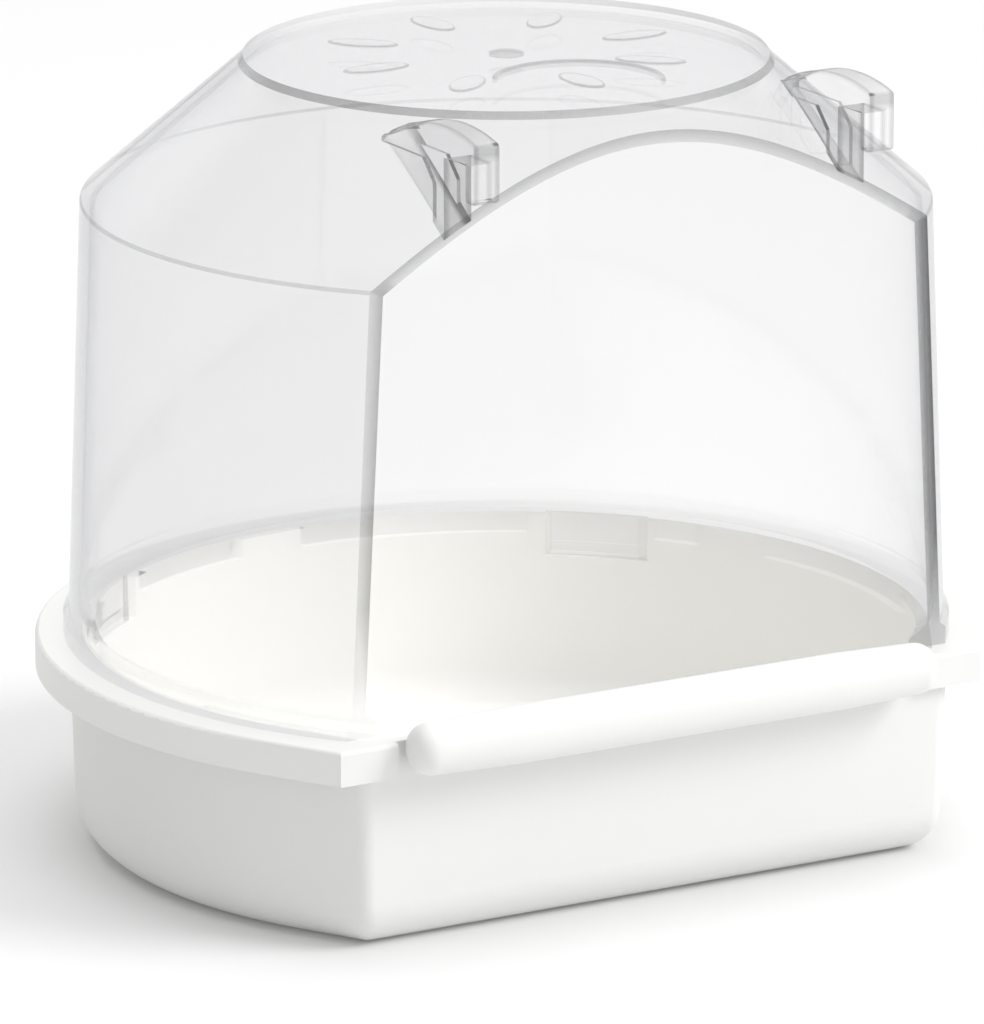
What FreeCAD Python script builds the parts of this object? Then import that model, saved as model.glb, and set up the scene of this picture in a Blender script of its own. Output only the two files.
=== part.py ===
import FreeCAD, Part
import math
import os

import Sketcher

# External bird bath: a white tray with a perch roll along its front, under a clear hood that is
# open at the front and hangs on a cage by two hooks.
# Frame: +Z up, X along the straight front, the open front faces -Y.
# The origin lies on the table plane, on the axis of the round hood. Millimetres and degrees.

OUT_DIR = "parts"

SIZES = {
    # Common plan: a round back, a straight tangent run each side, and a straight front.
    "side_angle": 30.0,
    # Tray.
    "tub_base_radius": 64.1,
    "tub_base_front": 44.1,
    "tub_draft": 1.64,
    "tub_wall": 2.1,
    "tub_floor": 2.0,
    "tub_corner_round": 2.5,
    "tub_base_round": 7.0,
    "base_trim": 0.1,
    "basin_corner_round": 1.6,
    "basin_floor_round": 5.0,
    "rim_level": 31.4,
    "rim_radius": 70.0,
    "rim_front": 46.5,
    "rim_plate": 1.8,
    "rim_skirt_depth": 5.1,
    "rim_skirt_wall": 1.6,
    "rim_edge_round": 0.6,
    "roll_notch_half": 44.5,
    "roll_notch_front": 45.2,
    "latch_angle": 43.0,
    "recess_half_angle": 7.4,
    "recess_depth": 0.7,
    "recess_height": 7.0,
    # Perch roll.
    "roll_half_length": 43.9,
    "roll_middle_half": 28.0,
    "roll_middle_radius": 4.2,
    "roll_end_radius": 3.75,
    "roll_end_round": 3.0,
    "roll_reach": 48.9,
    "roll_level": 30.75,
    # Hood.
    "hood_gap": 0.1,
    "hood_wall": 1.6,
    "hood_front": 42.0,
    "foot_radius": 65.8,
    "foot_height": 3.4,
    "foot_ledge": 1.4,
    "wall_foot_radius": 65.0,
    "shoulder_radius": 62.7,
    "shoulder_level": 97.0,
    "shoulder_round": 0.8,
    "roof_edge_radius": 39.3,
    "roof_edge_level": 117.3,
    "disc_radius": 38.6,
    "disc_level": 118.4,
    "skirt_radius": 62.4,
    "skirt_wall": 1.4,
    "skirt_drop": 3.0,
    "tongue_drop": 6.2,
    "tongue_half_angle": 6.5,
    "snap_bead_rise": 0.4,
    "snap_bead_height": 1.6,
    "petals": 8.0,
    "petal_ring_radius": 21.8,
    "petal_half_length": 5.4,
    "petal_half_width": 2.4,
    "petal_rise": 0.45,
    "gate_radius": 2.6,
    "gate_depth": 0.4,
    "crown_arc_across": -0.6,
    "crown_arc_reach": 22.0,
    "crown_arc_radius": 11.95,
    "crown_arc_width": 0.6,
    "crown_arc_rise": 0.5,
    # Hooks.
    "hook_offset": 32.75,
    "hook_width": 4.5,
    "gusset_width": 3.3,
    "hook_back": 25.0,
    "hook_back_level": 114.9,
    "hook_top_radius": 33.0,
    "lip_front": 51.2,
    "lip_top": 118.6,
    "lip_wall": 2.4,
    "lip_bottom": 110.0,
    "arm_underside": 115.3,
    "arm_back_underside": 114.2,
    "stem_front": 42.9,
    "stem_wall": 3.1,
    "stem_bottom": 98.0,
}

# The locating skirt under the hood: start and end of each stretch, in degrees about the hood's
# axis from +X. The two snap tongues hang in the gaps beside 47 and 133 degrees.
SKIRT_STRETCHES = [
    (-15.0, 19.7),
    (31.3, 38.0),
    (57.0, 90.5),
    (101.5, 123.0),
    (142.0, 148.7),
    (160.3, 195.0),
]

# Start and end of the fine raised arc on the roof disc, in degrees about its own centre.
CROWN_ARC = (-30.0, 144.0)

WHOLE_WALL = 20.0   # an edge taller than this is a corner of the tub or of the basin
NEAR = 0.02

doc = FreeCAD.newDocument("bird_bath")
sheet = doc.addObject("Spreadsheet::Sheet", "Sizes")
for row, (alias, value) in enumerate(SIZES.items(), start=1):
    sheet.set("A%d" % row, alias)
    sheet.set("B%d" % row, str(value))
    sheet.setAlias("B%d" % row, alias)
doc.recompute()


# ---------------------------------------------------------------- sketches and features

def number(expression):
    """The number that an expression over the sheet stands for."""
    return float(sheet.evalExpression(expression))


def vec(x, y, z=0.0):
    return FreeCAD.Vector(x, y, z)


def polar(radius, degrees):
    angle = math.radians(degrees)
    return vec(radius * math.cos(angle), radius * math.sin(angle))


def new_body(name):
    body = doc.addObject("PartDesign::Body", name)
    body.Label = name
    body.Placement = FreeCAD.Placement()
    return body


def origin_feature(body, role):
    return next(item for item in body.Origin.OriginFeatures if item.Role == role)


def new_sketch(body, name, plane, offset="0"):
    """A sketch on one of the body's own origin planes, moved along its normal."""
    sketch = body.newObject("Sketcher::SketchObject", name)
    sketch.AttachmentSupport = [(origin_feature(body, plane), "")]
    sketch.MapMode = "FlatFace"
    sketch.setExpression("AttachmentOffset.Base.z", offset)
    doc.recompute()
    return sketch


def constrain(sketch, kind, *values):
    return sketch.addConstraint(Sketcher.Constraint(kind, *values))


def bind(sketch, expression, kind, *values):
    """A dimension of a sketch, driven by an expression over the sheet."""
    index = constrain(sketch, kind, *values, number(expression))
    sketch.setExpression("Constraints[%d]" % index, expression)


def place_point(sketch, item, end, across, up):
    """Fix a point of a sketch by two expressions, measured from the sketch's origin."""
    for kind, axis, expression in (("DistanceX", -2, across), ("DistanceY", -1, up)):
        amount = number(expression)
        if amount == 0.0:
            constrain(sketch, "PointOnObject", item, end, axis)
        elif amount > 0.0:
            bind(sketch, expression, kind, -1, 1, item, end)
        else:
            bind(sketch, "-(%s)" % expression, kind, item, end, -1, 1)


def arc_between(start, end, radius):
    """The minor arc that runs clockwise from start to end."""
    middle = (start + end) * 0.5
    half = (end - start) * 0.5
    across = vec(-half.y, half.x)
    across.normalize()
    centre = middle - across * math.sqrt(radius ** 2 - half.Length ** 2)
    first = math.atan2(end.y - centre.y, end.x - centre.x)
    last = math.atan2(start.y - centre.y, start.x - centre.x)
    return Part.ArcOfCircle(Part.Circle(centre, vec(0, 0, 1), radius), first, last)


def add_outline(sketch, corners, arcs=None):
    """A closed outline through corners given as expressions; arcs maps a run to its radius."""
    arcs = arcs or {}
    points = [vec(number(across), number(up)) for across, up in corners]
    starts = []
    ends = []
    for run, start in enumerate(points):
        end = points[(run + 1) % len(points)]
        if run in arcs:
            item = sketch.addGeometry(arc_between(start, end, number(arcs[run])))
            starts.append((item, 2))
            ends.append((item, 1))
        else:
            item = sketch.addGeometry(Part.LineSegment(start, end))
            starts.append((item, 1))
            ends.append((item, 2))
    for run, corner in enumerate(corners):
        constrain(sketch, "Coincident", *ends[run - 1], *starts[run])
        place_point(sketch, *starts[run], *corner)
    for run, radius in arcs.items():
        bind(sketch, radius, "Radius", starts[run][0])


def add_plan(sketch, radius, front):
    """The common plan: an arc over the back, a tangent run each side, and the straight front."""
    size = number(radius)
    angle = math.radians(number("Sizes.side_angle"))
    turn = vec(size * math.cos(angle), -size * math.sin(angle))
    run = (number(front) + turn.y) / math.cos(angle)
    corner = turn + vec(-math.sin(angle), -math.cos(angle)) * run
    circle = Part.Circle(vec(0, 0), vec(0, 0, 1), size)
    back = sketch.addGeometry(Part.ArcOfCircle(circle, -angle, math.pi + angle))
    right = sketch.addGeometry(Part.LineSegment(turn, corner))
    middle = sketch.addGeometry(Part.LineSegment(corner, vec(-corner.x, corner.y)))
    left = sketch.addGeometry(Part.LineSegment(vec(-corner.x, corner.y), vec(-turn.x, turn.y)))
    constrain(sketch, "Coincident", back, 3, -1, 1)
    constrain(sketch, "Tangent", back, 1, right, 1)
    constrain(sketch, "Coincident", right, 2, middle, 1)
    constrain(sketch, "Coincident", middle, 2, left, 1)
    constrain(sketch, "Tangent", back, 2, left, 2)
    constrain(sketch, "Symmetric", right, 2, left, 1, -2)
    bind(sketch, radius, "Radius", back)
    bind(sketch, front, "DistanceY", right, 2, -1, 1)
    bind(sketch, "(%s) * sin(Sizes.side_angle)" % radius, "DistanceY", right, 1, -1, 1)


def add_sector(sketch, inner, outer, first, last):
    """A piece of a ring about the origin, between two angles in degrees."""
    small = number(inner)
    large = number(outer)
    corners = [polar(small, first), polar(large, first), polar(large, last), polar(small, last)]
    low = math.radians(first)
    high = math.radians(last)
    axis = vec(0, 0, 1)
    start = sketch.addGeometry(Part.LineSegment(corners[0], corners[1]))
    outside = sketch.addGeometry(Part.ArcOfCircle(Part.Circle(vec(0, 0), axis, large), low, high))
    end = sketch.addGeometry(Part.LineSegment(corners[2], corners[3]))
    inside = sketch.addGeometry(Part.ArcOfCircle(Part.Circle(vec(0, 0), axis, small), low, high))
    constrain(sketch, "Coincident", outside, 3, -1, 1)
    constrain(sketch, "Coincident", inside, 3, -1, 1)
    constrain(sketch, "Coincident", start, 1, inside, 1)
    constrain(sketch, "Coincident", start, 2, outside, 1)
    constrain(sketch, "Coincident", end, 1, outside, 2)
    constrain(sketch, "Coincident", end, 2, inside, 2)
    constrain(sketch, "PointOnObject", -1, 1, start)
    constrain(sketch, "PointOnObject", -1, 1, end)
    bind(sketch, inner, "Radius", inside)
    bind(sketch, outer, "Radius", outside)
    constrain(sketch, "Angle", -1, 1, start, 1, low)
    constrain(sketch, "Angle", start, 1, end, 2, high - low)


def add_feature(body, kind, name, sketch, length=None, **settings):
    """A PartDesign feature of a sketch, checked to have changed the body's volume."""
    before = body.Shape.Volume if body.Tip else 0.0
    feature = body.newObject("PartDesign::" + kind, name)
    feature.Profile = sketch
    if length:
        feature.setExpression("Length", length)
    for key, setting in settings.items():
        if isinstance(setting, str) and setting.startswith("="):
            feature.setExpression(key, setting[1:])
        else:
            setattr(feature, key, setting)
    doc.recompute()
    change = body.Shape.Volume - before
    grows = kind in ("Pad", "Revolution")
    if (change > 0.0) != grows or abs(change) < 1e-6:
        raise ValueError("%s changed the volume by %.3f" % (name, change))
    return feature


def round_edges(body, name, radius, wanted):
    """Fillet the edges of the body that the test accepts."""
    base = body.Tip
    edges = [index for index, edge in enumerate(body.Shape.Edges, start=1) if wanted(edge)]
    if not edges:
        raise ValueError("no edge to round for " + name)
    fillet = body.newObject("PartDesign::Fillet", name)
    fillet.Base = (base, ["Edge%d" % index for index in edges])
    fillet.setExpression("Radius", radius)
    doc.recompute()
    if "Invalid" in fillet.State or fillet.Shape.isNull():
        raise ValueError("%s could not be rounded" % name)


def at_level(level):
    """A test for edges that lie flat at one height."""
    height = number(level)

    def test(edge):
        box = edge.BoundBox
        return abs(box.ZMin - height) < NEAR and abs(box.ZMax - height) < NEAR

    return test


# ---------------------------------------------------------------- tray

def is_front_corner(edge):
    box = edge.BoundBox
    return box.ZLength > WHOLE_WALL and box.YMax < -number("Sizes.hood_front") + 1.0


def trim_base(body, name, level):
    """Cut the body off flat a little above its lowest point, past the thin end of its corner rounds."""
    plan = new_sketch(body, name, "XY_Plane", level)
    add_outline(plan, [
        ("-Sizes.rim_radius", "-Sizes.rim_radius"),
        ("-Sizes.rim_radius", "Sizes.rim_radius"),
        ("Sizes.rim_radius", "Sizes.rim_radius"),
        ("Sizes.rim_radius", "-Sizes.rim_radius"),
    ])
    add_feature(body, "Pocket", name + "_trim", plan, "2 * Sizes.base_trim")


def build_basin_space():
    """The space that the water fills, cut out of the tub."""
    body = new_body("basin_space")
    outline = new_sketch(body, "basin_plan", "XY_Plane", "Sizes.tub_floor - Sizes.base_trim")
    inset = " + Sizes.tub_floor * tan(Sizes.tub_draft) - Sizes.tub_wall"
    add_plan(outline, "Sizes.tub_base_radius" + inset, "Sizes.tub_base_front" + inset)
    add_feature(body, "Pad", "basin_block", outline, "Sizes.rim_level", TaperAngle="=Sizes.tub_draft")
    round_edges(body, "basin_floor_edge", "Sizes.basin_floor_round", at_level("Sizes.tub_floor - Sizes.base_trim"))
    round_edges(body, "basin_corners", "Sizes.basin_corner_round", is_front_corner)
    trim_base(body, "basin_floor_plan", "Sizes.tub_floor")
    return body


def build_tray():
    body = new_body("tray")

    outline = new_sketch(body, "tub_plan", "XY_Plane", "-Sizes.base_trim")
    add_plan(outline, "Sizes.tub_base_radius", "Sizes.tub_base_front")
    add_feature(body, "Pad", "tub", outline, "Sizes.rim_level + Sizes.base_trim", TaperAngle="=Sizes.tub_draft")
    round_edges(body, "tub_base_edge", "Sizes.tub_base_round", at_level("-Sizes.base_trim"))
    round_edges(body, "tub_corners", "Sizes.tub_corner_round", is_front_corner)
    trim_base(body, "tub_base_plan", "0")

    plate = new_sketch(body, "rim_plate_plan", "XY_Plane", "Sizes.rim_level - Sizes.rim_plate")
    add_plan(plate, "Sizes.rim_radius", "Sizes.rim_front")
    add_feature(body, "Pad", "rim_plate", plate, "Sizes.rim_plate")
    skirt = new_sketch(body, "rim_skirt_plan", "XY_Plane", "Sizes.rim_level - Sizes.rim_skirt_depth")
    add_plan(skirt, "Sizes.rim_radius", "Sizes.rim_front")
    add_plan(skirt, "Sizes.rim_radius - Sizes.rim_skirt_wall", "Sizes.rim_front - Sizes.rim_skirt_wall")
    add_feature(body, "Pad", "rim_skirt", skirt, "Sizes.rim_skirt_depth")
    round_edges(body, "rim_edge", "Sizes.rim_edge_round", at_level("Sizes.rim_level"))

    basin = body.newObject("PartDesign::Boolean", "basin")
    basin.Type = "Cut"
    basin.addObject(build_basin_space())
    doc.recompute()

    notch = new_sketch(body, "roll_notch_plan", "XY_Plane", "Sizes.rim_level")
    add_outline(notch, [
        ("-Sizes.roll_notch_half", "-Sizes.roll_notch_front"),
        ("-Sizes.roll_notch_half", "-Sizes.rim_front - 1"),
        ("Sizes.roll_notch_half", "-Sizes.rim_front - 1"),
        ("Sizes.roll_notch_half", "-Sizes.roll_notch_front"),
    ])
    add_feature(body, "Pocket", "roll_notch", notch, "Sizes.rim_skirt_depth")

    recess = new_sketch(body, "latch_recess_plan", "XY_Plane", "Sizes.rim_level")
    wall = "(Sizes.tub_base_radius + Sizes.rim_level * tan(Sizes.tub_draft) - Sizes.tub_wall)"
    half = number("Sizes.recess_half_angle")
    for side in (-1.0, 1.0):
        middle = 90.0 + side * number("Sizes.latch_angle")
        add_sector(recess, wall + " - 2", wall + " + Sizes.recess_depth", middle - half, middle + half)
    add_feature(body, "Pocket", "latch_recesses", recess, "Sizes.recess_height")
    return body


# ---------------------------------------------------------------- perch roll

def build_perch_roll():
    """A roll, thicker in its middle, turned about its own X axis, seated on the tray's front."""
    body = new_body("perch_roll")
    body.setExpression("Placement.Base.y", "-Sizes.roll_reach")
    body.setExpression("Placement.Base.z", "Sizes.roll_level")

    half = new_sketch(body, "roll_half_section", "XY_Plane")
    add_outline(half, [
        ("-Sizes.roll_half_length", "0"),
        ("-Sizes.roll_half_length", "Sizes.roll_end_radius"),
        ("-Sizes.roll_middle_half", "Sizes.roll_middle_radius"),
        ("Sizes.roll_middle_half", "Sizes.roll_middle_radius"),
        ("Sizes.roll_half_length", "Sizes.roll_end_radius"),
        ("Sizes.roll_half_length", "0"),
    ])
    add_feature(body, "Revolution", "roll", half, ReferenceAxis=(half, ["H_Axis"]), Angle=360.0)
    round_edges(body, "roll_ends", "Sizes.roll_end_round",
                lambda edge: edge.BoundBox.XLength < NEAR and edge.Length > 1.0)

    seat = new_sketch(body, "roll_seat_section", "YZ_Plane")
    add_outline(seat, [
        ("Sizes.roll_reach - Sizes.roll_notch_front", "Sizes.rim_level - Sizes.roll_level"),
        ("Sizes.roll_reach - Sizes.roll_notch_front", "-2 * Sizes.roll_middle_radius"),
        ("3 * Sizes.roll_middle_radius", "-2 * Sizes.roll_middle_radius"),
        ("3 * Sizes.roll_middle_radius", "Sizes.rim_level - Sizes.roll_level"),
    ])
    add_feature(body, "Pocket", "roll_seat", seat, "4 * Sizes.roll_half_length", Midplane=True)
    return body


# ---------------------------------------------------------------- hood

def build_hood():
    body = new_body("hood")
    foot = "(Sizes.rim_level + Sizes.hood_gap)"
    foot_top = foot + " + Sizes.foot_height"

    section = new_sketch(body, "hood_section", "XZ_Plane")
    add_outline(section, [
        ("0", "Sizes.disc_level"),
        ("Sizes.disc_radius", "Sizes.disc_level"),
        ("Sizes.roof_edge_radius", "Sizes.roof_edge_level"),
        ("Sizes.shoulder_radius", "Sizes.shoulder_level"),
        ("Sizes.wall_foot_radius", foot_top),
        ("Sizes.foot_radius", foot_top + " - Sizes.foot_radius + Sizes.wall_foot_radius"),
        ("Sizes.foot_radius", foot),
        ("Sizes.skirt_radius - Sizes.skirt_wall", foot),
        ("Sizes.skirt_radius - Sizes.skirt_wall", foot + " + Sizes.foot_ledge"),
        ("Sizes.wall_foot_radius - Sizes.hood_wall", foot_top),
        ("Sizes.shoulder_radius - Sizes.hood_wall", "Sizes.shoulder_level - Sizes.hood_wall / 2"),
        ("Sizes.disc_radius - Sizes.hood_wall / 2", "Sizes.disc_level - Sizes.hood_wall"),
        ("0", "Sizes.disc_level - Sizes.hood_wall"),
    ])
    add_feature(body, "Revolution", "shell", section, ReferenceAxis=(section, ["V_Axis"]), Angle=360.0)
    shoulder = at_level("Sizes.shoulder_level")
    round_edges(body, "shoulder_edge", "Sizes.shoulder_round",
                lambda edge: shoulder(edge) and edge.BoundBox.XLength > 1.0)

    front = new_sketch(body, "front_cut_plan", "XY_Plane")
    add_outline(front, [
        ("-2 * Sizes.foot_radius", "-Sizes.hood_front"),
        ("-2 * Sizes.foot_radius", "-2 * Sizes.foot_radius"),
        ("2 * Sizes.foot_radius", "-2 * Sizes.foot_radius"),
        ("2 * Sizes.foot_radius", "-Sizes.hood_front"),
    ])
    add_feature(body, "Pocket", "front_opening", front, "4 * Sizes.disc_level", Midplane=True)

    ring = ("Sizes.skirt_radius - Sizes.skirt_wall", "Sizes.skirt_radius")
    skirt = new_sketch(body, "skirt_plan", "XY_Plane", foot + " - Sizes.skirt_drop")
    for first, last in SKIRT_STRETCHES:
        add_sector(skirt, *ring, first, last)
    add_feature(body, "Pad", "locating_skirt", skirt, "Sizes.skirt_drop + Sizes.foot_ledge / 2")

    tongues = new_sketch(body, "tongue_plan", "XY_Plane", foot + " - Sizes.tongue_drop")
    beads = new_sketch(body, "snap_bead_plan", "XY_Plane", foot + " - Sizes.tongue_drop")
    half = number("Sizes.tongue_half_angle")
    for side in (-1.0, 1.0):
        middle = 90.0 + side * number("Sizes.latch_angle")
        add_sector(tongues, *ring, middle - half, middle + half)
        add_sector(beads, ring[0], ring[1] + " + Sizes.snap_bead_rise", middle - half, middle + half)
    add_feature(body, "Pad", "snap_tongues", tongues, "Sizes.tongue_drop + Sizes.foot_ledge / 2")
    add_feature(body, "Pad", "snap_beads", beads, "Sizes.snap_bead_height")

    add_petals(body)
    gate = new_sketch(body, "gate_mark_plan", "XY_Plane", "Sizes.disc_level")
    mark = gate.addGeometry(Part.Circle(vec(0, 0), vec(0, 0, 1), number("Sizes.gate_radius")))
    constrain(gate, "Coincident", mark, 3, -1, 1)
    bind(gate, "Sizes.gate_radius", "Radius", mark)
    add_feature(body, "Pocket", "gate_mark", gate, "Sizes.gate_depth")

    crown = new_sketch(body, "crown_arc_plan", "XY_Plane", "Sizes.disc_level")
    crown.setExpression("AttachmentOffset.Base.x", "Sizes.crown_arc_across")
    crown.setExpression("AttachmentOffset.Base.y", "-Sizes.crown_arc_reach")
    doc.recompute()
    outer = "Sizes.crown_arc_radius + Sizes.crown_arc_width"
    add_sector(crown, "Sizes.crown_arc_radius", outer, CROWN_ARC[0], CROWN_ARC[1])
    add_feature(body, "Pad", "crown_arc", crown, "Sizes.crown_arc_rise")
    return body


def add_petals(body):
    """Lens-shaped petals that stand out of the roof disc, each pointing at its centre."""
    petal = body.newObject("PartDesign::AdditiveEllipsoid", "petal")
    petal.AttachmentSupport = [(origin_feature(body, "XY_Plane"), "")]
    petal.MapMode = "FlatFace"
    petal.setExpression("AttachmentOffset.Base.x", "Sizes.petal_ring_radius")
    petal.setExpression("AttachmentOffset.Base.z", "Sizes.disc_level")
    petal.setExpression("Radius1", "Sizes.petal_rise")
    petal.setExpression("Radius2", "Sizes.petal_half_length")
    petal.setExpression("Radius3", "Sizes.petal_half_width")
    doc.recompute()
    ring = body.newObject("PartDesign::PolarPattern", "petal_ring")
    ring.Originals = [petal]
    ring.Axis = (origin_feature(body, "Z_Axis"), [""])
    ring.Angle = 360.0
    ring.setExpression("Occurrences", "Sizes.petals")
    body.Tip = ring
    doc.recompute()


# ---------------------------------------------------------------- hooks

def build_hook(name, side):
    """A J-shaped hook on the roof: stem, arched arm and hanging lip, with a thin gusset behind."""
    body = new_body(name)
    offset = "%g * Sizes.hook_offset" % side

    profile = new_sketch(body, name + "_profile", "YZ_Plane", offset)
    add_outline(profile, [
        ("-Sizes.lip_front", "Sizes.lip_top"),
        ("-Sizes.hook_back", "Sizes.hook_back_level"),
        ("-Sizes.hook_back", "Sizes.arm_back_underside"),
        ("-Sizes.stem_front + 2 * Sizes.stem_wall", "Sizes.arm_back_underside"),
        ("-Sizes.stem_front + Sizes.stem_wall", "Sizes.arm_back_underside - Sizes.stem_wall"),
        ("-Sizes.stem_front + Sizes.stem_wall", "Sizes.stem_bottom"),
        ("-Sizes.stem_front", "Sizes.stem_bottom"),
        ("-Sizes.stem_front", "Sizes.arm_underside"),
        ("-Sizes.lip_front + Sizes.lip_wall", "Sizes.arm_underside"),
        ("-Sizes.lip_front + Sizes.lip_wall", "Sizes.lip_bottom"),
        ("-Sizes.lip_front", "Sizes.lip_bottom"),
    ], arcs={0: "Sizes.hook_top_radius"})
    add_feature(body, "Pad", name + "_bar", profile, "Sizes.hook_width", Midplane=True)

    web = new_sketch(body, name + "_web", "YZ_Plane", offset)
    add_outline(web, [
        ("-Sizes.hook_back", "Sizes.arm_back_underside + 0.3"),
        ("-Sizes.stem_front + Sizes.stem_wall - 0.5", "Sizes.arm_back_underside + 0.3"),
        ("-Sizes.stem_front + Sizes.stem_wall - 0.5", "Sizes.stem_bottom"),
        ("-Sizes.hook_back", "Sizes.stem_bottom"),
    ])
    add_feature(body, "Pad", name + "_gusset", web, "Sizes.gusset_width", Midplane=True)

    slope = "(Sizes.roof_edge_level - Sizes.shoulder_level) / (Sizes.shoulder_radius - Sizes.roof_edge_radius)"
    under = new_sketch(body, name + "_roof_section", "XZ_Plane")
    add_outline(under, [
        ("Sizes.disc_radius / 2", "Sizes.shoulder_level / 2"),
        ("Sizes.rim_radius", "Sizes.shoulder_level / 2"),
        ("Sizes.rim_radius", "Sizes.shoulder_level - (Sizes.rim_radius - Sizes.shoulder_radius) * " + slope),
        ("Sizes.disc_radius / 2",
         "Sizes.shoulder_level + (Sizes.shoulder_radius - Sizes.disc_radius / 2) * " + slope),
    ])
    add_feature(body, "Groove", name + "_foot", under, ReferenceAxis=(under, ["V_Axis"]), Angle=360.0)
    return body


# ---------------------------------------------------------------- build, check and write

parts = [
    build_tray(),
    build_perch_roll(),
    build_hood(),
    build_hook("hook_left", -1),
    build_hook("hook_right", 1),
]
doc.recompute()

for item in doc.Objects:
    if "Invalid" in item.State or "Error" in item.State:
        raise ValueError("%s has failed" % item.Name)
os.makedirs(OUT_DIR, exist_ok=True)
for part in parts:
    if part.Shape.isNull() or not part.Shape.isValid():
        raise ValueError("%s has no valid shape" % part.Label)
    part.Shape.exportStep(os.path.join(OUT_DIR, part.Label + ".step"))
    box = part.Shape.optimalBoundingBox(False)
    print("%-12s solids %d volume %8.1f  x %.1f..%.1f  y %.1f..%.1f  z %.1f..%.1f" % (
        part.Label, len(part.Shape.Solids), part.Shape.Volume,
        box.XMin, box.XMax, box.YMin, box.YMax, box.ZMin, box.ZMax))
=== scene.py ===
import math

import bmesh
import bpy
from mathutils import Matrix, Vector


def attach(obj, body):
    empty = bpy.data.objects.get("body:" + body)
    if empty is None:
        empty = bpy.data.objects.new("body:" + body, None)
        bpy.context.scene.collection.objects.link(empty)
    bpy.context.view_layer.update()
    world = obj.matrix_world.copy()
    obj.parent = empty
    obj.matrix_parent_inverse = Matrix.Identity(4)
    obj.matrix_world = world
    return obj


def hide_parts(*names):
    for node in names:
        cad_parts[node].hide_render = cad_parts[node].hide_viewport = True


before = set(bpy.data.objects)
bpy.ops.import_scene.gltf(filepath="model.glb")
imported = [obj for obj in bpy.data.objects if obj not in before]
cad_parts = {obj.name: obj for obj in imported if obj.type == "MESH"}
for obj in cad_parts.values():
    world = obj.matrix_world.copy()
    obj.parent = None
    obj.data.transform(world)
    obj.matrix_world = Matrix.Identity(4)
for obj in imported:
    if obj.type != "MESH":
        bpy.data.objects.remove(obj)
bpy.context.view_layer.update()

# ---------------------------------------------------------------- sizes of the part, in metres

SHOULDER_RADIUS = 0.0627   # the hood's outside at the edge between its wall and its cone
SHOULDER_LEVEL = 0.097
CONE_SPREAD = 23.4 / 20.3   # how fast the cone narrows upward
WALL_SPREAD = 2.3 / 62.1   # how fast the wall widens downward
WALL_SKIN = 0.0008   # half of the hood's wall
DISC_RADIUS = 0.0384   # the roof disc, inside the step around it
STEP_RADIUS = 0.0394
STEP_LEVEL = 0.1173
DISC_UNDERSIDE = 0.1160   # just below the disc
CONE_FOOT = 0.0975
ROUNDING_LEVEL = 0.0965   # the middle of the rounded shoulder
RAISED_LEVEL = 0.11841   # above this are only the petals and the arc
PETAL_TOP = 0.11862
ARC_CENTRE = (-0.0006, -0.0220)
ARC_INSIDE = 0.0118
ARC_OUTSIDE = 0.0127
GATE_RADIUS = 0.0026
GATE_LEVEL = 0.1180   # the floor of the gate mark
SKIRT_REACH = 0.0640   # the locating skirt lies within this radius
SKIRT_TOP = 0.0330
SKIRT_LEDGE = 0.0300   # its level edges are below this
DOORWAY_FACE = -0.0418   # the hood's cut front edge is in front of this
DOORWAY_FOOT = 0.0350

HOOK_OFFSET = 0.03275   # from the middle of the hood to the middle of each hook
HOOK_THIN_END = -0.0262   # behind this a hook is too thin to be rounded
HOOK_ROUNDING = 0.0005
ROOF_GAP = 0.0003   # a hook's corners nearer the roof than this stay sharp

BASIN_REACH = 0.0642   # the tub's inside lies within this plan radius
BASIN_FLOOR = 0.0015
RIM_TOP = 0.0313
PLAN_CORNER = math.radians(30.0)   # where the tray's round back ends
PLAN_FRONT = 0.020   # the straight front is this much nearer the middle than the round back

# ---------------------------------------------------------------- materials


def new_material(name):
    """An empty material and its node tree."""
    material = bpy.data.materials.new(name)
    material.use_nodes = True
    tree = material.node_tree
    tree.nodes.clear()
    return material, tree


def ramp(tree, source, low, high, first, last):
    """A value that runs from first to last as source runs from low to high."""
    node = tree.nodes.new("ShaderNodeMapRange")
    node.inputs["From Min"].default_value = low
    node.inputs["From Max"].default_value = high
    node.inputs["To Min"].default_value = first
    node.inputs["To Max"].default_value = last
    tree.links.new(source, node.inputs["Value"])
    return node.outputs["Result"]


def object_noise(tree, scale):
    """Noise fixed to the piece, with scale in features per metre."""
    place = tree.nodes.new("ShaderNodeTexCoord")
    noise = tree.nodes.new("ShaderNodeTexNoise")
    noise.inputs["Scale"].default_value = scale
    noise.inputs["Detail"].default_value = 3.0
    tree.links.new(place.outputs["Object"], noise.inputs["Vector"])
    return noise.outputs["Fac"]


def bump(tree, height, strength, distance):
    """A normal that follows a height, with distance in metres."""
    node = tree.nodes.new("ShaderNodeBump")
    node.inputs["Strength"].default_value = strength
    node.inputs["Distance"].default_value = distance
    tree.links.new(height, node.inputs["Height"])
    return node.outputs["Normal"]


def absorb(tree, out, density):
    """Light is lost along its way through the plastic, so that long ways through it look darker."""
    loss = tree.nodes.new("ShaderNodeVolumeAbsorption")
    loss.inputs["Color"].default_value = (0.905, 0.906, 0.91, 1.0)
    loss.inputs["Density"].default_value = density
    tree.links.new(loss.outputs[0], out.inputs["Volume"])


def calculate(tree, operation, *values):
    """One sum on sockets or plain numbers."""
    node = tree.nodes.new("ShaderNodeMath")
    node.operation = operation
    for socket, value in zip(node.inputs, values):
        if isinstance(value, float):
            socket.default_value = value
        else:
            tree.links.new(value, socket)
    return node.outputs[0]


def split(tree, vector):
    """The X, Y and Z of a vector."""
    node = tree.nodes.new("ShaderNodeSeparateXYZ")
    tree.links.new(vector, node.inputs[0])
    return node.outputs


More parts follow.
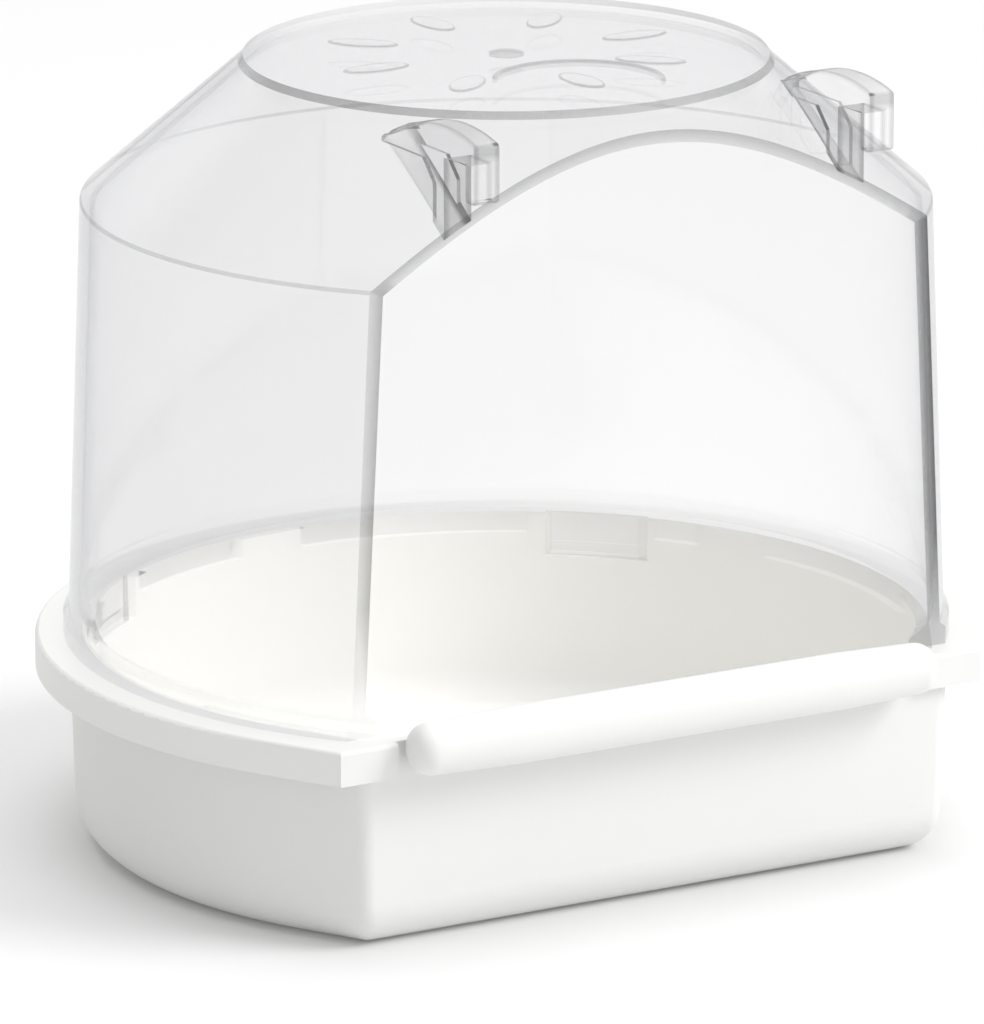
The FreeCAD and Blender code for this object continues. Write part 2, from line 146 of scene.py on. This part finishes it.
def hood_painted_shade_and_light(tree):
    """Painted shade and painted light on the hood, read at each corner of its mesh, where they are
    filled in further down.
    """
    node = tree.nodes.new("ShaderNodeAttribute")
    node.attribute_name = "painted_shade_and_light"
    return node.outputs["Fac"]


def hook_painted_shade(tree):
    """Painted shade on a hook, as the share of light let through: grey along both sides, greyer on
    its stem and front top, and dark along its slanting back edge. Signs of the normal cancel out,
    as a face is also met from inside."""
    place = split(tree, tree.nodes.new("ShaderNodeTexCoord").outputs["Object"])
    normal = split(tree, tree.nodes.new("ShaderNodeNewGeometry").outputs["True Normal"])
    inward = calculate(tree, "SUBTRACT", HOOK_OFFSET, calculate(tree, "ABSOLUTE", place["X"]))
    sideways = calculate(tree, "ABSOLUTE", normal["X"])
    band = ramp(tree, calculate(tree, "ABSOLUTE", inward), 0.0011, 0.0018, 0.0, 0.30)
    band = calculate(tree, "MULTIPLY", band, calculate(tree, "SUBTRACT", 1.0, sideways))
    upright = calculate(tree, "ABSOLUTE", normal["Y"])
    stem = calculate(tree, "MULTIPLY", ramp(tree, upright, 0.6, 0.9, 0.0, 0.22),
                     ramp(tree, place["Y"], -0.0445, -0.0435, 0.0, 1.0))
    brow = calculate(tree, "MULTIPLY", ramp(tree, upright, 0.7, 0.95, 0.0, 0.28),
                     ramp(tree, place["Z"], 0.1160, 0.1172, 0.0, 1.0))
    slope = calculate(tree, "MULTIPLY", normal["Y"], normal["Z"])
    slant = calculate(tree, "MULTIPLY", ramp(tree, slope, -0.36, -0.30, 1.0, 0.0),
                      ramp(tree, inward, 0.0008, 0.0015, 0.12, 0.66))
    share = calculate(tree, "SUBTRACT", 1.0, band)
    for loss in (stem, brow, slant):
        share = calculate(tree, "MULTIPLY", share, calculate(tree, "SUBTRACT", 1.0, loss))
    return share


def thin_plastic(name, near, far, turn, shine, density, painted_shade_and_light):
    """Clear moulded plastic. What is seen through it is tinted near face on and far at a glancing
    angle, from the facing value turn on, and then dimmed or lifted by a function that gives painted
    shade and painted light as the share of light let through. Lamplight passes more easily."""
    material, tree = new_material(name)
    nodes, links = tree.nodes, tree.links
    out = nodes.new("ShaderNodeOutputMaterial")
    flow = object_noise(tree, 45.0)
    ripple = bump(tree, flow, 0.12, 0.0004)
    facing = nodes.new("ShaderNodeLayerWeight")
    facing.inputs["Blend"].default_value = 0.5
    tint = nodes.new("ShaderNodeMix")
    tint.data_type = "RGBA"
    tint.inputs["A"].default_value = (*near, 1.0)
    tint.inputs["B"].default_value = (*far, 1.0)
    links.new(ramp(tree, facing.outputs["Facing"], turn, 1.0, 0.0, 1.0), tint.inputs["Factor"])
    dim = nodes.new("ShaderNodeMix")
    dim.data_type = "RGBA"
    dim.blend_type = "MULTIPLY"
    dim.inputs["Factor"].default_value = 1.0
    links.new(tint.outputs["Result"], dim.inputs["A"])
    links.new(painted_shade_and_light(tree), dim.inputs["B"])
    see = nodes.new("ShaderNodeBsdfTransparent")
    links.new(dim.outputs["Result"], see.inputs["Color"])
    gloss = nodes.new("ShaderNodeBsdfGlossy")
    gloss.inputs["Color"].default_value = (0.96, 0.96, 0.965, 1.0)
    links.new(ramp(tree, flow, 0.3, 0.7, 0.02, 0.06), gloss.inputs["Roughness"])
    links.new(ripple, gloss.inputs["Normal"])
    glance = calculate(tree, "POWER", facing.outputs["Facing"], 5.0)
    seen = nodes.new("ShaderNodeMixShader")
    links.new(ramp(tree, glance, 0.0, 1.0, shine, 0.85), seen.inputs[0])
    links.new(see.outputs[0], seen.inputs[1])
    links.new(gloss.outputs[0], seen.inputs[2])
    lamplight = nodes.new("ShaderNodeBsdfTransparent")
    lamplight.inputs["Color"].default_value = (0.968, 0.968, 0.968, 1.0)
    path = nodes.new("ShaderNodeLightPath")
    passing = nodes.new("ShaderNodeMixShader")
    links.new(path.outputs["Is Shadow Ray"], passing.inputs[0])
    links.new(seen.outputs[0], passing.inputs[1])
    links.new(lamplight.outputs[0], passing.inputs[2])
    links.new(passing.outputs[0], out.inputs["Surface"])
    absorb(tree, out, density)
    return material


def white_plastic(name, light, shade):
    """White moulded plastic, slightly mottled, with a fine even grain."""
    material, tree = new_material(name)
    nodes, links = tree.nodes, tree.links
    out = nodes.new("ShaderNodeOutputMaterial")
    shader = nodes.new("ShaderNodeBsdfPrincipled")
    colour = nodes.new("ShaderNodeMix")
    colour.data_type = "RGBA"
    colour.inputs["A"].default_value = (*shade, 1.0)
    colour.inputs["B"].default_value = (*light, 1.0)
    links.new(object_noise(tree, 35.0), colour.inputs["Factor"])
    links.new(colour.outputs["Result"], shader.inputs["Base Color"])
    grain = object_noise(tree, 2500.0)
    links.new(ramp(tree, grain, 0.3, 0.7, 0.3, 0.42), shader.inputs["Roughness"])
    links.new(bump(tree, grain, 0.15, 0.00005), shader.inputs["Normal"])
    links.new(shader.outputs[0], out.inputs["Surface"])
    return material


clear = thin_plastic("clear_wall", (0.960, 0.960, 0.962), (0.82, 0.822, 0.827), 0.76, 0.045,
                     110.0, hood_painted_shade_and_light)
thick = thin_plastic("clear_lump", (0.988, 0.988, 0.989), (0.45, 0.45, 0.455), 0.50, 0.045,
                     90.0, hook_painted_shade)
white = white_plastic("white_outside", (0.83, 0.83, 0.815), (0.81, 0.81, 0.795))
# a lighter copy of the white plastic for the tub's inside: painted light
basin_painted_light = white_plastic("white_basin_painted_light", (0.94, 0.935, 0.91), (0.93, 0.925, 0.90))

# ---------------------------------------------------------------- CAD pieces

for name, materials in (("tray", [white, basin_painted_light]), ("perch_roll", [white]), ("hood", [clear])):
    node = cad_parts[name]
    node.data.materials.clear()
    for material in materials:
        node.data.materials.append(material)
    for face in node.data.polygons:
        face.use_smooth = True


def plan_radius(x, y):
    """The radius of the tray's common plan outline that passes through a point."""
    if y > -abs(x) * math.tan(PLAN_CORNER):
        return math.hypot(x, y)
    return max(abs(x) * math.cos(PLAN_CORNER) - y * math.sin(PLAN_CORNER), PLAN_FRONT - y)


def in_basin(face):
    """Whether a face of the tray is on the inside of the tub."""
    place = face.center
    inside = plan_radius(place.x, place.y) < BASIN_REACH and BASIN_FLOOR < place.z < RIM_TOP
    outward = face.normal.x * place.x + face.normal.y * place.y
    return inside and face.normal.z > -0.005 and outward < 0.02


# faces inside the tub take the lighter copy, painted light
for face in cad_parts["tray"].data.polygons:
    face.material_index = 1 if in_basin(face) else 0


def outside_radius(z):
    """The outer radius of the hood at a height, over the wall and the cone."""
    if z > SHOULDER_LEVEL:
        return SHOULDER_RADIUS - (z - SHOULDER_LEVEL) * CONE_SPREAD
    return SHOULDER_RADIUS + (SHOULDER_LEVEL - z) * WALL_SPREAD


def front_edge_painted_shade(at):
    """Painted shade on the hood's cut front edge at one of its corners, as the share of light let
    through.
    """
    outer = math.hypot(at.x, at.y) > outside_radius(at.z) - WALL_SKIN
    if at.z < DOORWAY_FOOT:
        return 0.97 if at.x < 0.0 else 0.80
    if at.z > SHOULDER_LEVEL:
        return 0.60 if outer else 0.84
    if at.x < 0.0:
        return 0.80 if outer else 0.54
    return 0.20 if outer else 0.62


def hood_painted_share_at(face, at):
    """Painted shade and painted light on the hood at one corner of one of its faces, as the share
    of light let through.
    """
    radius = math.hypot(face.center.x, face.center.y)
    level = face.center.z
    from_arc = math.hypot(face.center.x - ARC_CENTRE[0], face.center.y - ARC_CENTRE[1])
    raised = level > RAISED_LEVEL and radius < DISC_RADIUS
    upright = abs(face.normal.z) < 0.5
    if level > STEP_LEVEL and DISC_RADIUS < radius < STEP_RADIUS:
        # the step round the disc, painted shade that is darkest at both sides
        return 0.74 - 5.0 * abs(at.x) + 5.0 * max(at.y, 0.0)
    if raised and ARC_INSIDE < from_arc < ARC_OUTSIDE:
        return 0.84   # the arc, painted shade
    if radius < GATE_RADIUS and abs(level - GATE_LEVEL) < 0.0002:
        return 0.72   # the gate mark, painted shade
    if face.normal.y < -0.99 and face.center.y < DOORWAY_FACE:
        return front_edge_painted_shade(at)
    if abs(level - ROUNDING_LEVEL) < 0.0009 and radius > 0.0620:
        return 0.80   # the rounded shoulder, painted shade
    if raised:
        return 0.74 if at.z < PETAL_TOP else 1.04   # a petal, painted shade at its foot and painted light above it
    if abs(face.normal.z) > 0.9 and level > DISC_UNDERSIDE:
        return 1.04   # the flat of the disc, painted light
    # the cone, painted light
    if level > CONE_FOOT:
        return 1.02
    if radius < SKIRT_REACH and level < (SKIRT_TOP if upright else SKIRT_LEDGE):
        return 1.04 if upright else 1.20   # the skirt's sides in painted light, then a painted highlight on its lower edges
    return 1.0


hood_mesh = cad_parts["hood"].data
# painted shade and painted light, one share of light let through at each corner of the hood's mesh
painted_shade_and_light = hood_mesh.attributes.new("painted_shade_and_light", "FLOAT", "CORNER")
for face in hood_mesh.polygons:
    for corner in face.loop_indices:
        at = hood_mesh.vertices[hood_mesh.loops[corner].vertex_index].co
        painted_shade_and_light.data[corner].value = hood_painted_share_at(face, at)

# ---------------------------------------------------------------- rounded hooks


def rounded_hook(name):
    """A CAD hook as a piece of its own, with its edges rounded where they are clear of the roof and
    of the thin back end."""
    mesh = bmesh.new()
    mesh.from_mesh(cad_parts[name].data)
    bmesh.ops.remove_doubles(mesh, verts=mesh.verts, dist=0.000002)
    bmesh.ops.dissolve_limit(mesh, angle_limit=math.radians(1.0), verts=mesh.verts,
                             edges=mesh.edges)
    free = {vert for vert in mesh.verts
            if vert.co.y < HOOK_THIN_END
            and math.hypot(vert.co.x, vert.co.y) > outside_radius(vert.co.z) + ROOF_GAP}
    sharp = [edge for edge in mesh.edges
             if edge.is_convex and edge.calc_face_angle() > math.radians(28.0)
             and free.issuperset(edge.verts)]
    bmesh.ops.bevel(mesh, geom=sharp, offset=HOOK_ROUNDING, segments=3, affect="EDGES",
                    profile=0.5, clamp_overlap=False)
    for face in mesh.faces:
        face.smooth = True
    for edge in mesh.edges:
        edge.smooth = edge.calc_face_angle() < math.radians(12.0)
    data = bpy.data.meshes.new(name + "_rounded")
    mesh.to_mesh(data)
    mesh.free()
    data.materials.append(thick)
    piece = bpy.data.objects.new(name + "_rounded", data)
    bpy.context.scene.collection.objects.link(piece)
    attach(piece, "hood")
    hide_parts(name)


for name in ("hook_left", "hook_right"):
    rounded_hook(name)

# ---------------------------------------------------------------- stage, light and camera

floor_mesh = bpy.data.meshes.new("floor")
floor_bm = bmesh.new()
bmesh.ops.create_grid(floor_bm, x_segments=1, y_segments=1, size=6.0)
floor_bm.to_mesh(floor_mesh)
floor_bm.free()
floor = bpy.data.objects.new("floor", floor_mesh)
bpy.context.scene.collection.objects.link(floor)
floor_material, floor_tree = new_material("floor_white")
floor_out = floor_tree.nodes.new("ShaderNodeOutputMaterial")
floor_shader = floor_tree.nodes.new("ShaderNodeBsdfPrincipled")
floor_shader.inputs["Base Color"].default_value = (0.8, 0.8, 0.8, 1.0)
floor_shader.inputs["Roughness"].default_value = 0.6
floor_shader.inputs["Specular IOR Level"].default_value = 0.1
floor_shader.inputs["Emission Color"].default_value = (1.0, 1.0, 1.0, 1.0)
floor_shader.inputs["Emission Strength"].default_value = 0.05
floor_tree.links.new(floor_shader.outputs[0], floor_out.inputs["Surface"])
floor_mesh.materials.append(floor_material)

world = bpy.data.worlds.new("studio")
bpy.context.scene.world = world
world.use_nodes = True
studio = world.node_tree
background = studio.nodes["Background"]
place = studio.nodes.new("ShaderNodeTexCoord").outputs["Generated"]


def toward(direction):
    """How far a direction of view points along another direction."""
    node = studio.nodes.new("ShaderNodeVectorMath")
    node.operation = "DOT_PRODUCT"
    node.inputs[1].default_value = direction
    studio.links.new(place, node.inputs[0])
    return node.outputs["Value"]


front_glow = ramp(studio, toward((0.65, -0.62, 0.44)), -1.0, 1.0, 0.28, 0.8)
backdrop = ramp(studio, toward((0.5, 0.866, 0.0)), 0.35, 0.75, 0.0, 1.0)
studio.links.new(calculate(studio, "MAXIMUM", front_glow, backdrop), background.inputs["Strength"])
background.inputs["Color"].default_value = (1.0, 1.0, 1.0, 1.0)


def area_light(name, place, aim, size, power):
    """A soft lamp that doesn't show in reflections."""
    light = bpy.data.lights.new(name, "AREA")
    light.shape = "RECTANGLE"
    light.size, light.size_y = size
    light.energy = power
    holder = bpy.data.objects.new(name, light)
    holder.location = place
    direction = Vector(aim) - Vector(place)
    holder.rotation_euler = direction.to_track_quat("-Z", "Y").to_euler()
    holder.visible_glossy = False
    bpy.context.scene.collection.objects.link(holder)


area_light("key", (1.5, -1.35, 1.5), (0, 0, 0.05), (1.1, 1.1), 32)
area_light("overhead", (-0.15, 0.1, 1.5), (0, 0, 0.03), (1.3, 1.3), 9.5)

camera_data = bpy.data.cameras.new("camera")
camera = bpy.data.objects.new("camera", camera_data)
bpy.context.scene.collection.objects.link(camera)
azimuth = math.radians(-29.953)
elevation = math.radians(15.372)
distance = 1.470
target = Vector((0.0048, 0.0125, 0.0449))
forward = Vector((-math.sin(azimuth) * math.cos(elevation),
                  math.cos(azimuth) * math.cos(elevation), -math.sin(elevation)))
camera.location = target - forward * distance
camera.rotation_euler = forward.to_track_quat("-Z", "Y").to_euler()
camera_data.sensor_width = 36.0
camera_data.sensor_fit = "HORIZONTAL"
camera_data.lens = 359.3
bpy.context.scene.camera = camera

bpy.context.scene.view_settings.view_transform = "Standard"
